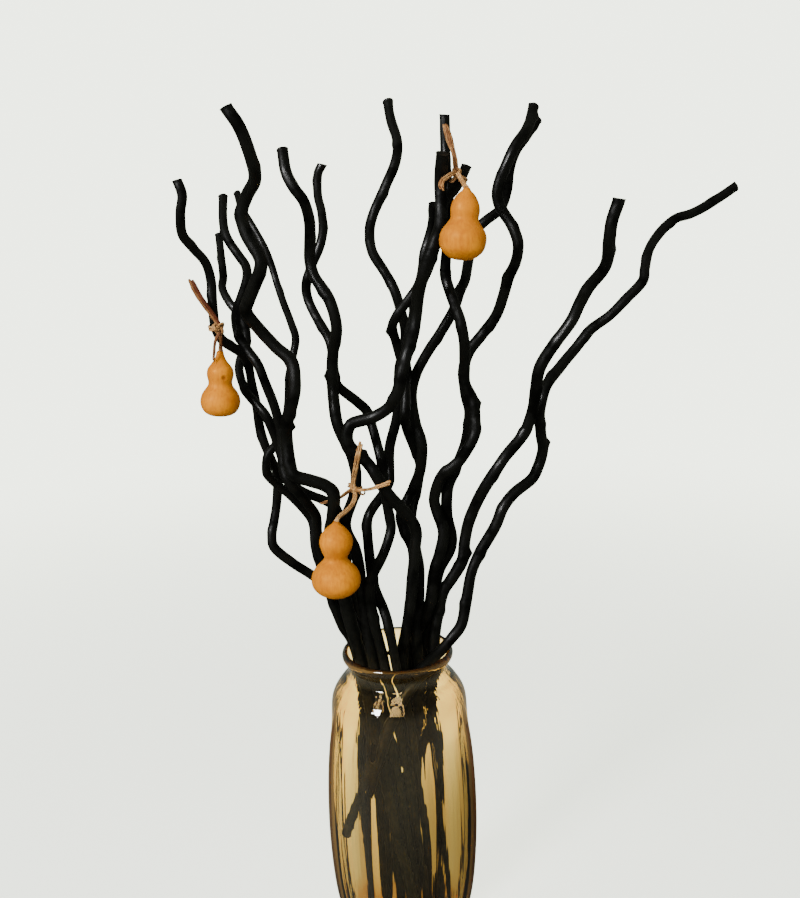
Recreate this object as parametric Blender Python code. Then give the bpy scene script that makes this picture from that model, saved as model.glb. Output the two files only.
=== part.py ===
# Willow stems in a ribbed glass vase, with three small bottle gourds tied on by their own vines.
# Frame: +Z up, the origin at the centre of the vase foot, the open side of the bunch towards -Y.
# Sizes below are in millimetres, and MM turns them into Blender's metres.
import math

import bmesh
import bpy
import numpy as np
from mathutils import Matrix, Vector

MM = 0.001
GAP = 0.3

# The routes are drawn as seen from this point, on the upright plane through the vase's axis.
EYE = np.array([0.0, -713.0, 567.0])

# Glass vase: outer profile of its ribs, from the foot to the neck, as (radius, height)
VASE_HEIGHT = 250.0
VASE_WALL = 3.4
VASE_FLOOR = 9.0
VASE_PANELS = 8
VASE_STEPS = 40
VASE_FOOT = 43.0
VASE_SIDE = ((46.8, 2.5), (50.8, 11), (55.9, 28), (60.4, 52), (62.9, 78), (64.1, 104), (64.1, 126),
             (63.4, 147), (61.9, 168), (59.5, 187), (56, 202), (52, 215), (46, 224.5), (40.6, 230),
             (39, 234.5))
VASE_LIP = ((40, 239), (42.6, 242.5), (44, 245.5), (43.8, 248.2), (42.2, 249.8), (40.6, 249.6),
            (39.4, 247.6), (38.4, 243), (36.4, 238))
# The eight panels are nearly flat between these heights and fade into the round shoulder and foot.
PANEL_TOP = (206.0, 176.0)
PANEL_FOOT = (2.0, 24.0)
PANEL_FLATNESS = 0.85

# Willow stems. Each route runs from the cut tip down to the mouth as (across, up) on the plane.
# depths: how far behind the plane the stem lies, at even steps from the tip to the mouth.
# inside: the way on through the vase to the cut foot, as (across, back, up).
# radii: at the tip, half way down and inside the vase.
STEMS = (
    dict(name="willow_stem_01", radii=(2.5, 3.0, 3.9), depths=(-62, -42, -16, 2, 8, 6, 5),
         route=((-146, 613), (-143, 602), (-146, 588), (-144, 572), (-132, 559), (-127, 542),
                (-127, 517), (-124, 501), (-111, 490), (-105, 484), (-102, 465), (-99, 445),
                (-99, 436), (-95, 418), (-88, 399), (-87, 389), (-90, 364), (-93, 353), (-92, 335),
                (-65, 313), (-55, 305), (-42, 284), (-36, 273)),
         inside=((-26, 4, 240), (-14, -8, 150), (4, -12, 60), (12, -14, 11))),
    dict(name="willow_stem_02", radii=(2.5, 3.0, 3.6), depths=(6, -14, -26, -28, -20, -4, 11),
         route=((-114, 601), (-115, 578), (-108, 563), (-100, 549), (-104, 534), (-110, 519),
                (-111, 512), (-108, 497), (-99, 484), (-95, 475), (-90, 459), (-87, 450), (-83, 431),
                (-82, 420), (-81, 398), (-77, 388), (-60, 363), (-59, 353), (-58, 331), (-53, 320),
                (-44, 297), (-33, 273)),
         inside=((-19, 13, 240), (-16, 2, 150), (-8, -6, 60), (-4, -10, 11))),
    dict(name="willow_stem_03", radii=(2.3, 3.0, 3.7), depths=(60, 22, -10, -16, -8, 8, 17),
         route=((-119, 574), (-118, 551), (-118, 543), (-119, 535), (-113, 523), (-105, 511),
                (-104, 496), (-110, 482), (-111, 474), (-106, 458), (-94, 443), (-90, 433),
                (-84, 415), (-82, 395), (-77, 386), (-61, 377), (-48, 371), (-42, 364), (-39, 345),
                (-37, 320), (-36, 308), (-33, 283), (-31, 268)),
         inside=((-26, 15, 240), (-22, 4, 150), (-18, -8, 60), (-16, -14, 11))),
    dict(name="willow_stem_04", radii=(2.1, 2.7, 3.2), depths=(96, 66, 34, 2, -3, 0, 5),
         route=((-104, 603), (-103, 596), (-96, 583), (-85, 561), (-81, 546), (-77, 531), (-72, 515),
                (-68, 500), (-68, 492), (-73, 476), (-74, 467), (-76, 449), (-80, 429), (-84, 421),
                (-94, 410), (-95, 396), (-90, 389), (-77, 377), (-65, 362), (-62, 354), (-61, 334),
                (-52, 300), (-49, 289), (-41, 267)),
         inside=((-31, 4, 240), (-28, -10, 150), (-22, -22, 60), (-18, -26, 11))),
    dict(name="willow_stem_05", radii=(3.3, 4.1, 5.0), depths=(-100, -74, -52, -40, -30, -20, -14),
         route=((-108, 662), (-101, 652), (-92, 625), (-91, 610), (-99, 598), (-102, 584), (-97, 569),
                (-90, 556), (-91, 548), (-97, 534), (-103, 520), (-100, 513), (-91, 502), (-87, 496),
                (-73, 483), (-70, 474), (-71, 454), (-75, 446), (-79, 427), (-78, 415), (-77, 397),
                (-72, 391), (-64, 389), (-56, 388), (-45, 378), (-46, 363), (-49, 344), (-45, 322),
                (-41, 300), (-37, 275)),
         inside=((-28, -10, 240), (-14, -22, 150), (4, -28, 60), (12, -30, 11))),
    dict(name="willow_stem_06", radii=(3.2, 3.7, 4.2), depths=(-34, -30, -26, -20, -14, -15, -20),
         route=((-70, 632), (-70, 625), (-66, 610), (-57, 597), (-53, 582), (-54, 562), (-53, 546),
                (-44, 530), (-40, 522), (-37, 504), (-41, 484), (-42, 463), (-41, 443), (-38, 428),
                (-31, 412), (-27, 392), (-30, 374), (-34, 366), (-37, 350), (-30, 332), (-27, 313),
                (-27, 301), (-25, 291), (-23, 267)),
         inside=((-18, -19, 240), (-4, -22, 150), (8, -18, 60), (14, -16, 11))),
    dict(name="willow_stem_07", radii=(2.6, 3.2, 3.6), depths=(34, 14, -4, -6, -8, -16, -22),
         route=((-42, 621), (-45, 617), (-46, 610), (-46, 596), (-44, 589), (-44, 573), (-49, 558),
                (-56, 544), (-58, 531), (-53, 516), (-45, 501), (-42, 494), (-41, 485), (-40, 467),
                (-36, 459), (-23, 448), (-17, 442), (-14, 432), (-9, 410), (-7, 398), (-5, 373),
                (-2, 352), (-3, 342), (-11, 323), (-20, 306), (-20, 296), (-18, 272)),
         inside=((-9, -22, 240), (6, -22, 150), (20, -16, 60), (26, -12, 11))),
    dict(name="willow_stem_08", radii=(3.2, 3.2, 3.3), depths=(80, 54, 30, 14, 8, -8, -24),
         route=((6, 662), (6, 656), (12, 635), (10, 621), (7, 613), (-5, 590), (-10, 574), (-8, 557),
                (2, 541), (9, 524), (13, 504), (14, 495), (11, 475), (10, 454), (2, 423), (-1, 412),
                (-2, 388), (-6, 378), (-17, 363), (-20, 354), (-19, 321), (-16, 298), (-12, 288),
                (-8, 277), (-6, 266)),
         inside=((0, -25, 240), (16, -18, 150), (28, -6, 60), (32, 0, 11))),
    dict(name="willow_stem_09", radii=(2.8, 3.7, 4.6), depths=(-17, -24, -24, -16, -12, -4, 0),
         route=((46, 652), (46, 618), (47, 606), (48, 581), (47, 568), (44, 542), (48, 526), (54, 510),
                (57, 493), (58, 483), (57, 461), (64, 444), (64, 424), (61, 414), (50, 398), (43, 394),
                (37, 387), (32, 370), (34, 362), (39, 345), (38, 336), (32, 318), (30, 307),
                (26, 284), (15, 262)),
         inside=((6, 0, 240), (6, 2, 150), (4, 4, 60), (4, 6, 11))),
    dict(name="willow_stem_10", radii=(3.6, 3.7, 3.6), depths=(-46, -42, -38, -35, -27, -20, -13),
         route=((44, 626), (42, 604), (42, 596), (42, 579), (35, 559), (28, 541), (23, 523), (21, 505),
                (16, 487), (12, 479), (8, 459), (-1, 443), (-17, 435), (-25, 434), (-31, 431),
                (-33, 424), (-32, 416), (-26, 409), (-15, 398), (-7, 382), (-2, 375), (10, 361),
                (18, 344), (15, 324), (12, 290), (10, 279), (8, 267)),
         inside=((3, -13, 240), (8, -8, 150), (14, -4, 60), (16, -2, 11))),
    dict(name="willow_stem_11", radii=(2.6, 3.2, 3.6), depths=(-28, -24, -18, -5, 6, 11, 10),
         route=((37, 591), (35, 574), (30, 557), (29, 548), (23, 531), (12, 518), (4, 504), (8, 488),
                (12, 469), (13, 458), (12, 435), (18, 415), (22, 396), (14, 376), (12, 359),
                (14, 335), (15, 323), (16, 310), (14, 273)),
         inside=((12, 9, 240), (6, 14, 150), (-2, 16, 60), (-6, 18, 11))),
    dict(name="willow_stem_12", radii=(2.8, 3.0, 3.2), depths=(-35, -25, -2, 18, 22, 22, 20),
         route=((61, 617), (55, 605), (45, 593), (41, 577), (35, 559), (29, 541), (21, 522), (20, 512),
                (13, 481), (13, 460), (14, 449), (16, 426), (19, 416), (22, 395), (17, 371),
                (15, 359), (15, 347), (19, 322), (20, 310), (17, 285), (14, 273)),
         inside=((9, 20, 240), (-2, 20, 150), (-14, 18, 60), (-18, 16, 11))),
    dict(name="willow_stem_13", radii=(3.2, 3.7, 4.3), depths=(20, 0, -10, -2, 2, 6, 8),
         route=((109, 656), (105, 642), (95, 629), (92, 622), (83, 601), (85, 587), (95, 571),
                (98, 556), (92, 540), (88, 532), (84, 515), (74, 500), (61, 485), (56, 467),
                (59, 446), (61, 434), (57, 414), (53, 404), (45, 386), (42, 376), (42, 356),
                (45, 335), (37, 319), (33, 309), (29, 286), (27, 274), (25, 261)),
         inside=((21, 8, 240), (14, 20, 150), (4, 28, 60), (-2, 30, 11))),
    dict(name="willow_stem_14", radii=(2.8, 3.5, 4.2), depths=(70, 30, 2, 0, 2, 4, -2),
         route=((112, 647), (109, 641), (98, 629), (92, 614), (90, 599), (84, 585), (71, 576),
                (66, 568), (61, 549), (58, 534), (54, 527), (48, 511), (38, 496), (27, 480),
                (22, 472), (17, 455), (18, 434), (23, 413), (21, 391), (13, 374), (6, 356),
                (15, 333), (19, 299), (17, 276), (14, 264)),
         inside=((16, -2, 240), (14, 8, 150), (10, 16, 60), (8, 20, 11))),
    dict(name="willow_stem_15", radii=(3.4, 3.9, 4.3), depths=(-80, -52, -30, -14, -4, 0, 3),
         route=((171, 591), (166, 576), (164, 560), (162, 544), (151, 530), (146, 523), (138, 506),
                (133, 498), (121, 483), (113, 468), (111, 459), (109, 441), (103, 423), (97, 415),
                (85, 400), (80, 392), (70, 377), (62, 361), (56, 343), (54, 324), (50, 314),
                (38, 297), (35, 287), (30, 265)),
         inside=((28, 3, 240), (24, 16, 150), (16, 26, 60), (12, 30, 11))),
    dict(name="willow_stem_16", radii=(3.0, 3.6, 4.0), depths=(72, 46, 20, 8, 4, -1, -5),
         route=((255, 597), (229, 581), (215, 577), (208, 573), (197, 561), (191, 547), (189, 531),
                (172, 514), (165, 507), (151, 497), (145, 490), (133, 475), (121, 461), (115, 445),
                (113, 427), (116, 408), (111, 391), (106, 383), (89, 369), (81, 352), (77, 344),
                (63, 320), (58, 302), (53, 273), (49, 263), (43, 256)),
         inside=((34, -9, 250), (24, -16, 244), (10, -24, 232), (-8, -33, 200), (-28, -37, 150),
                 (-46, -26, 104))),
)
# Besides the bends across, each stem winds slowly in depth, more so above the crowded mouth.
WINDING = 7.0
WINDING_LENGTH = 88.0
WINDING_STEP = 2.4
WINDING_HEIGHTS = (290.0, 400.0)
# Stems that would touch spread apart in depth, and near the mouth sideways too.
ROUTE_STEP = 5.0
STEM_CLEARANCE = 1.8
SETTLE_ROUNDS = 36
SETTLE_REACH = 6
SETTLE_EASE = 2.5
SETTLE_MOST = 3.0
SIDEWAYS_HEIGHTS = (275.0, 245.0)
SIDEWAYS_LEAST = 0.04
STEM_RINGS = 37
BEND_WEIGHT = 30.0

# Bottle gourds: where the neck of each starts, as (across, up, depth) in the drawing; half turn
# profile as (radius, distance down), and how many degrees the bottom hangs out to the left.
GOURDS = (
    dict(name="gourd_left", top=(-124, 491, -30), lean=3.5,
         profile=((1.7, 0), (3.0, 3.2), (6.2, 8.0), (9.0, 13.0), (9.7, 18.0), (8.6, 23.2), (8.1, 26.4),
                  (10.2, 30.4), (13.2, 35.0), (14.2, 39.4), (12.8, 44.0), (8.6, 47.2), (2.4, 48.2))),
    dict(name="gourd_top", top=(61, 602, -61), lean=5.6,
         profile=((1.8, 0), (3.2, 2.6), (6.4, 6.2), (9.2, 11.0), (10.0, 15.6), (9.6, 19.6), (9.7, 22.0),
                  (12.4, 26.4), (15.0, 31.0), (15.7, 35.0), (14.2, 40.6), (10.0, 45.4), (4.0, 48.4))),
    dict(name="gourd_front", top=(-44, 356, -46), lean=2.7,
         profile=((2.0, 0), (4.4, 2.4), (9.0, 6.4), (12.1, 11.4), (12.8, 16.0), (11.4, 22.0), (8.5, 27.6),
                  (11.6, 32.4), (16.6, 38.0), (18.7, 45.0), (17.4, 52.0), (12.4, 58.0), (4.0, 60.6))),
)
GOURD_STEPS = 16

# Dried vines: each is wound round its stem at the knot height and carries its gourd on a stalk.
# A strand starts in the knot and runs through its (across, up, depth) points; radii are of its
# first and last point. The first strand is the stalk, which ends on top of the gourd.
VINES = (
    dict(name="vine_left", stem="willow_stem_01", gourd="gourd_left", knot=508, cord=1.8,
         strands=(dict(radii=(1.6, 1.6), route=((-125, 500, -35),)),
                  dict(radii=(1.7, 1.4), route=((-126, 516, -36), (-133, 525, -37), (-138, 534, -38),
                                                (-142, 545, -38))),
                  dict(radii=(1.2, 0.9), route=((-130, 500, -25), (-132.5, 492, -23),
                                                (-133, 485, -22))))),
    dict(name="vine_top", stem="willow_stem_12", gourd="gourd_top", knot=609, cord=1.9,
         strands=(dict(radii=(1.7, 1.7), route=((58, 609, -46), (60.5, 609, -56))),
                  dict(radii=(1.8, 2.3), route=((55, 618, -45), (53, 628, -40), (50, 637, -36),
                                                (46, 647, -33))),
                  dict(radii=(1.7, 1.6), route=((48, 612, -48), (43, 609, -54), (41.5, 603, -55),
                                                (43.5, 598, -55))))),
    dict(name="vine_front", stem="willow_stem_06", gourd="gourd_front", knot=381, cord=2.4,
         strands=(dict(radii=(2.0, 1.9), route=((-30, 375, -21), (-36, 369, -33))),
                  dict(radii=(2.0, 1.5), route=((-28, 390, -22), (-26, 403, -34), (-24, 411, -37),
                                                (-21, 419, -37))),
                  dict(radii=(1.9, 1.4), route=((-21, 381, -25), (-13, 382, -38), (-5, 385, -42),
                                                (0, 387, -42))),
                  dict(radii=(1.7, 1.3), route=((-36, 378, -14), (-46, 372.5, -17),
                                                (-55, 370, -15))))),
)
VINE_STEP = 5.5
STALK_END = 3.0
# The two turns of a knot: tilt in degrees, how far round that is, and the shift along the stem.
KNOT_ROOM = 1.2
KNOT_TURNS = ((-16.0, 0.0, -1.3), (15.0, 53.0, 1.3))
KNOT_STEPS = (12, 7)
KNOT_STEP = 1.0


def sight(across, up, depth):
    """Moves a point of the plane along the line of sight from the eye to the given depth."""
    point = np.array([across, 0.0, up])
    return EYE + (point - EYE) * (depth - EYE[1]) / -EYE[1]


def smooth_path(points, step):
    """Catmull-Rom curve through the points, read at even distances of about one step."""
    points = np.asarray(points, float)
    ends = np.vstack([2 * points[0] - points[1], points, 2 * points[-1] - points[-2]])
    curve = []
    for before, start, end, after in zip(ends, ends[1:], ends[2:], ends[3:]):
        count = max(2, math.ceil(2 * np.linalg.norm(end - start) / step))
        t = np.linspace(0, 1, count, endpoint=False)[:, None]
        curve.append(0.5 * (2 * start + (end - before) * t
                            + (2 * before - 5 * start + 4 * end - after) * t ** 2
                            + (3 * start - before - 3 * end + after) * t ** 3))
    curve = np.vstack(curve + [points[-1:]])
    length = along(curve)
    places = np.linspace(0, length[-1], round(length[-1] / step) + 1)
    return sample(curve, length, places)


def along(path):
    """Distance of each point of a path from its start."""
    return np.concatenate([[0.0], np.cumsum(np.linalg.norm(np.diff(path, axis=0), axis=1))])


def sample(path, measure, places):
    """Points of a path at the given values of a measure that grows along it."""
    return np.stack([np.interp(places, measure, column) for column in path.T], axis=-1)


def fade(value, start, end):
    """Goes smoothly from 0 at start to 1 at end."""
    t = np.clip((value - start) / (end - start), 0.0, 1.0)
    return t * t * (3 - 2 * t)


def material(name, color, roughness, transmission=0.0, ior=1.5):
    """One plain finish."""
    made = bpy.data.materials.new(name)
    made.use_nodes = True
    shader = made.node_tree.nodes["Principled BSDF"]
    shader.inputs["Base Color"].default_value = (*color, 1.0)
    shader.inputs["Roughness"].default_value = roughness
    shader.inputs["Transmission Weight"].default_value = transmission
    shader.inputs["IOR"].default_value = ior
    made.diffuse_color = (*color, 1.0)
    return made


def move_to(collection, obj):
    """Takes a piece out of the collections that it is in and puts it in this one."""
    for other in list(obj.users_collection):
        other.objects.unlink(obj)
    collection.objects.link(obj)


def place(obj, collection, finish, smooth_angle=50.0):
    """Moves a finished piece into the object's collection and gives it its material."""
    move_to(collection, obj)
    obj.data.materials.clear()
    obj.data.materials.append(finish)
    if obj.type == "MESH":
        obj.data.shade_smooth()
        obj.data.set_sharp_from_angle(angle=math.radians(smooth_angle))


def tube(name, path, radii):
    """A round rod along a path, with filled ends and one ring of faces at each point."""
    data = bpy.data.curves.new(name, "CURVE")
    data.dimensions = "3D"
    data.bevel_depth = MM
    data.bevel_resolution = 2
    data.use_fill_caps = True
    spline = data.splines.new("POLY")
    spline.points.add(len(path) - 1)
    for point, place_mm, radius in zip(spline.points, path, radii):
        point.co = (*(place_mm * MM), 1.0)
        point.radius = radius
    obj = bpy.data.objects.new(name, data)
    bpy.context.scene.collection.objects.link(obj)
    return obj


def weld(mesh):
    """Joins the caps of a rod to its side."""
    cleaned = bmesh.new()
    cleaned.from_mesh(mesh)
    bmesh.ops.remove_doubles(cleaned, verts=cleaned.verts, dist=0.00001)
    cleaned.to_mesh(mesh)
    cleaned.free()


def as_mesh(obj):
    """Turns a curve, or a piece with modifiers, into a plain mesh piece."""
    graph = bpy.context.evaluated_depsgraph_get()
    mesh = bpy.data.meshes.new_from_object(obj.evaluated_get(graph))
    if obj.type == "CURVE":
        weld(mesh)
    solid = bpy.data.objects.new(obj.name, mesh)
    solid.matrix_world = obj.matrix_world
    bpy.context.scene.collection.objects.link(solid)
    bpy.data.objects.remove(obj)
    return solid


def panel_factor(angle, flatness):
    """How far the wall stands in from the ribs: 1 on a rib, least in the middle of a panel."""
    half = math.pi / VASE_PANELS
    turn = (angle + math.pi / 2 + half) % (2 * half) - half
    return (math.cos(half) / math.cos(turn)) ** flatness


def flatness(height):
    """Flat panels along the body, round at the shoulder and at the foot."""
    return PANEL_FLATNESS * float(fade(height, *PANEL_TOP) * fade(height, *PANEL_FOOT))


def vase_inner_profile():
    """Inner wall from the neck down to the middle of the floor, as (radius, height)."""
    wall = [(radius - VASE_WALL, height) for radius, height in reversed(VASE_SIDE[2:-1])]
    return wall + [(45.5, 12.5), (37.0, VASE_FLOOR)]


def build_vase(collection, finish):
    """The vase is a turned wall, pressed into eight panels while it is one piece with its floor."""
    profile = [(0.0, 0.0), (VASE_FOOT, 0.0), *VASE_SIDE, *VASE_LIP, *vase_inner_profile(),
               (0.0, VASE_FLOOR)]
    shape = bmesh.new()
    points = [shape.verts.new((radius * MM, 0.0, height * MM)) for radius, height in profile]
    edges = [shape.edges.new(pair) for pair in zip(points, points[1:])]
    bmesh.ops.spin(shape, geom=points + edges, cent=(0, 0, 0), axis=(0, 0, 1), dvec=(0, 0, 0),
                   angle=2 * math.pi, steps=VASE_STEPS, use_merge=True)
    bmesh.ops.remove_doubles(shape, verts=shape.verts, dist=0.00001)
    # Every face of the panels has its corners on a rib or evenly between two of them.
    bmesh.ops.rotate(shape, verts=shape.verts, cent=(0, 0, 0),
                     matrix=Matrix.Rotation(math.pi / VASE_PANELS, 3, "Z"))
    for vert in shape.verts:
        angle = math.atan2(vert.co.y, vert.co.x)
        factor = panel_factor(angle, flatness(vert.co.z / MM))
        vert.co.x *= factor
        vert.co.y *= factor
    bmesh.ops.recalc_face_normals(shape, faces=shape.faces)
    mesh = bpy.data.meshes.new("vase")
    shape.to_mesh(mesh)
    shape.free()
    place(bpy.data.objects.new("vase", mesh), collection, finish, smooth_angle=40.0)


def room_inside(height):
    """Clear radius inside the vase at the middle of a panel."""
    wall = sorted((height_, radius) for radius, height_ in [*VASE_LIP, *vase_inner_profile()][4:])
    heights = [entry[0] for entry in wall]
    radii = [entry[1] for entry in wall]
    narrowest = np.interp(height, heights, radii)
    flat = PANEL_FLATNESS * fade(height, *PANEL_TOP)
    return narrowest * math.cos(math.pi / VASE_PANELS) ** flat


def stem_path(stem, order):
    """Centre line of one stem from tip to foot, before it makes room for its neighbours."""
    route = np.array(stem["route"], float)
    length = along(route)
    depth = np.interp(length / length[-1], np.linspace(0, 1, len(stem["depths"])), stem["depths"])
    swing = WINDING * fade(route[:, 1], *WINDING_HEIGHTS)
    depth += swing * np.sin(2 * math.pi * route[:, 1] / WINDING_LENGTH + WINDING_STEP * order)
    above = [sight(across, up, back) for (across, up), back in zip(route, depth)]
    return smooth_path(above + [np.array(point, float) for point in stem["inside"]], ROUTE_STEP)


def stem_radii(stem, places):
    """Radius of a stem at parts of its length from 0 at the tip to 1 at the foot."""
    tip, middle, foot = stem["radii"]
    return np.interp(places, (0.0, 0.5, 0.78, 1.0), (tip, middle, foot, foot))


def spread(path, other, radii, other_radii):
    """The push that each point of a path needs to clear another stem, half of what is missing."""
    apart = path[:, None] - other[None]
    missing = radii[:, None] + other_radii[None] + STEM_CLEARANCE - np.linalg.norm(apart, axis=2)
    nearest = missing.argmax(axis=1)
    rows = np.arange(len(path))
    amount = np.maximum(missing[rows, nearest], 0.0) / 2
    side = apart[rows, nearest, :2]
    side[:, 0] *= np.maximum(fade(path[:, 2], *SIDEWAYS_HEIGHTS), SIDEWAYS_LEAST)
    side /= np.maximum(np.linalg.norm(side, axis=1), 1e-6)[:, None]
    return side * amount[:, None]


def settle(paths, radii):
    """Lets the stems push each other apart until they only just miss, inside the vase and above."""
    reach = np.arange(-SETTLE_REACH, SETTLE_REACH + 1)
    weights = np.exp(-0.5 * (reach / SETTLE_EASE) ** 2)
    weights /= weights.sum()
    for _ in range(SETTLE_ROUNDS):
        pushes = []
        for i, path in enumerate(paths):
            push = np.zeros((len(path), 2))
            for j, other in enumerate(paths):
                if i == j:
                    continue
                step = spread(path, other, radii[i], radii[j])
                larger = np.linalg.norm(step, axis=1) > np.linalg.norm(push, axis=1)
                push[larger] = step[larger]
            pushes.append(push)
        for path, radius, push in zip(paths, radii, pushes):
            padded = np.pad(push, ((SETTLE_REACH, SETTLE_REACH), (0, 0)), mode="edge")
            eased = np.stack([np.convolve(padded[:, k], weights, "valid") for k in (0, 1)], axis=1)
            peak = np.linalg.norm(eased, axis=1).max()
            if peak > 0:
                eased *= min(SETTLE_MOST, np.linalg.norm(push, axis=1).max() / peak)
            # A push in depth follows the line of sight, so the view from the front stays the same.
            sightline = (path - EYE) / (path[:, 1:2] - EYE[1])
            sightline[path[:, 2] < VASE_HEIGHT] = (0.0, 1.0, 0.0)
            path += sightline * eased[:, 1:2]
            path[:, 0] += eased[:, 0]
            keep_inside(path, radius)


def keep_inside(path, radius):
    """Holds the part of a stem that is below the rim clear of the glass."""
    below = path[:, 2] < VASE_HEIGHT - 1.0
    out = np.hypot(path[:, 0], path[:, 1])
    room = room_inside(path[:, 2]) - radius - 2 * GAP
    tight = below & (out > room)
    path[tight, :2] *= (room[tight] / out[tight])[:, None]


def stand_on_floor(line, radius):
    """Sets the cut foot of a stem down on the glass floor, on the lower edge of its cut."""
    if line[-1, 2] > VASE_FLOOR + 20.0:
        return
    for _ in range(3):
        run = line[-1] - line[-2]
        lean = math.hypot(run[0], run[1]) / np.linalg.norm(run)
        line[-1, 2] = VASE_FLOOR + GAP + radius * lean


def ring_places(path):
    """Places along a stem where its rings of faces lie, closer together in the bends."""
    run = np.diff(path, axis=0)
    run /= np.linalg.norm(run, axis=1)[:, None]
    bend = np.arccos(np.clip((run[1:] * run[:-1]).sum(axis=1), -1.0, 1.0))
    measure = along(path)
    measure[1:-1] += BEND_WEIGHT * np.cumsum(bend)
    measure[-1] = measure[-2] + ROUTE_STEP
    return np.interp(np.linspace(0, measure[-1], STEM_RINGS), measure, np.arange(len(path)))


def build_stems(collection, finish):
    """The stems stand free in the vase: each is one dyed rod with a cut tip and a cut foot."""
    paths = [stem_path(stem, order) for order, stem in enumerate(STEMS)]
    radii = [stem_radii(stem, np.linspace(0, 1, len(path))) for stem, path in zip(STEMS, paths)]
    settle(paths, radii)
    lines = {}
    for stem, path, radius in zip(STEMS, paths, radii):
        index = np.arange(len(path))
        places = ring_places(path)
        line = sample(path, index, places)
        stand_on_floor(line, radius[-1])
        place(tube(stem["name"], line, np.interp(places, index, radius)), collection, finish)
        lines[stem["name"]] = line
    return lines


def build_gourd(gourd, collection, finish):
    """A dried gourd, turned about its own slightly leaning axis."""
    profile = smooth_path(gourd["profile"], 3.6)
    shape = bmesh.new()
    rim = [(0.0, profile[0][1])] + [tuple(point) for point in profile] + [(0.0, profile[-1][1])]
    points = [shape.verts.new((radius * MM, 0.0, -down * MM)) for radius, down in rim]
    edges = [shape.edges.new(pair) for pair in zip(points, points[1:])]
    bmesh.ops.spin(shape, geom=points + edges, cent=(0, 0, 0), axis=(0, 0, 1), dvec=(0, 0, 0),
                   angle=2 * math.pi, steps=GOURD_STEPS, use_merge=True)
    bmesh.ops.remove_doubles(shape, verts=shape.verts, dist=0.00001)
    bmesh.ops.recalc_face_normals(shape, faces=shape.faces)
    mesh = bpy.data.meshes.new(gourd["name"])
    shape.to_mesh(mesh)
    shape.free()
    solid = bpy.data.objects.new(gourd["name"], mesh)
    solid.location = Vector(sight(*gourd["top"])) * MM
    solid.rotation_euler = (0.0, math.radians(gourd["lean"]), 0.0)
    place(solid, collection, finish, smooth_angle=60.0)


def knot_frame(vine, line):
    """Centre of the knot on its stem, the way that the stem runs there, and the stem's radius."""
    points = smooth_path(line, KNOT_STEP)
    seen = EYE + (points - EYE) * (-EYE[1] / (points[:, 1:2] - EYE[1]))
    spot = int(np.abs(seen[:, 2] - vine["knot"]).argmin())
    run = points[spot - 4] - points[spot + 4]
    stem = next(stem for stem in STEMS if stem["name"] == vine["stem"])
    return points[spot], run / np.linalg.norm(run), stem["radii"][1]


def knot_turn(vine, centre, run, ring_radius, turn):
    """One turn of a vine round its stem, a little aslant."""
    tilt, way_round, shift = turn
    bpy.ops.mesh.primitive_torus_add(major_radius=ring_radius * MM, minor_radius=vine["cord"] * MM,
                                     major_segments=KNOT_STEPS[0], minor_segments=KNOT_STEPS[1])
    ring = bpy.context.object
    ring.matrix_world = (Matrix.Translation(Vector(centre + run * shift) * MM)
                         @ Vector(run).to_track_quat("Z", "Y").to_matrix().to_4x4()
                         @ Matrix.Rotation(math.radians(way_round), 4, "Z")
                         @ Matrix.Rotation(math.radians(tilt), 4, "X"))
    return ring


def gourd_top(name):
    """Where a gourd's neck starts, and the way that its axis points up from there."""
    gourd = next(gourd for gourd in GOURDS if gourd["name"] == name)
    lean = math.radians(gourd["lean"])
    return sight(*gourd["top"]), np.array([math.sin(lean), 0.0, math.cos(lean)])


def build_vine(vine, line, collection, finish):
    """A dried vine: two turns round the stem, the stalk of its gourd and loose ends, all one piece."""
    centre, run, stem_radius = knot_frame(vine, line)
    ring_radius = stem_radius + KNOT_ROOM + vine["cord"]
    knot = knot_turn(vine, centre, run, ring_radius, KNOT_TURNS[0])
    loose = bpy.data.collections.new("strands")
    bpy.context.scene.collection.children.link(loose)
    move_to(loose, knot_turn(vine, centre, run, ring_radius, KNOT_TURNS[1]))
    for strand in vine["strands"]:
        route = [sight(*point) for point in strand["route"]]
        away = route[0] - centre
        away -= run * away.dot(run)
        start = centre + away / np.linalg.norm(away) * ring_radius
        if strand is vine["strands"][0]:
            top, axis = gourd_top(vine["gourd"])
            route.append(top + axis * (GAP + STALK_END))
        path = smooth_path([start] + route, VINE_STEP)
        if strand is vine["strands"][0]:
            path = np.vstack([path, top + axis * GAP])
        move_to(loose, as_mesh(tube("strand", path, np.linspace(*strand["radii"], len(path)))))
    joined = knot.modifiers.new("grown together", "BOOLEAN")
    joined.operation = "UNION"
    joined.operand_type = "COLLECTION"
    joined.collection = loose
    joined.solver = "EXACT"
    solid = as_mesh(knot)
    for strand in list(loose.objects):
        bpy.data.objects.remove(strand)
    bpy.data.collections.remove(loose)
    solid.name = vine["name"]
    place(solid, collection, finish)


for old in list(bpy.data.objects):
    bpy.data.objects.remove(old)
bunch = bpy.data.collections.new("willow_stems_in_vase")
bpy.context.scene.collection.children.link(bunch)
GLASS = material("amber glass", (0.80, 0.56, 0.27), 0.04, transmission=0.9, ior=1.5)
DYED_BARK = material("black dyed bark", (0.012, 0.012, 0.009), 0.45)
GOURD_SKIN = material("gourd skin", (0.58, 0.27, 0.07), 0.42)
DRIED_VINE = material("dried vine", (0.36, 0.17, 0.07), 0.75)
build_vase(bunch, GLASS)
stem_lines = build_stems(bunch, DYED_BARK)
for one in GOURDS:
    build_gourd(one, bunch, GOURD_SKIN)
for one in VINES:
    build_vine(one, stem_lines[one["stem"]], bunch, DRIED_VINE)
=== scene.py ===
# Black dyed willow stems in an amber glass vase, with bottle gourds tied on by their dried vines.
import math

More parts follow.
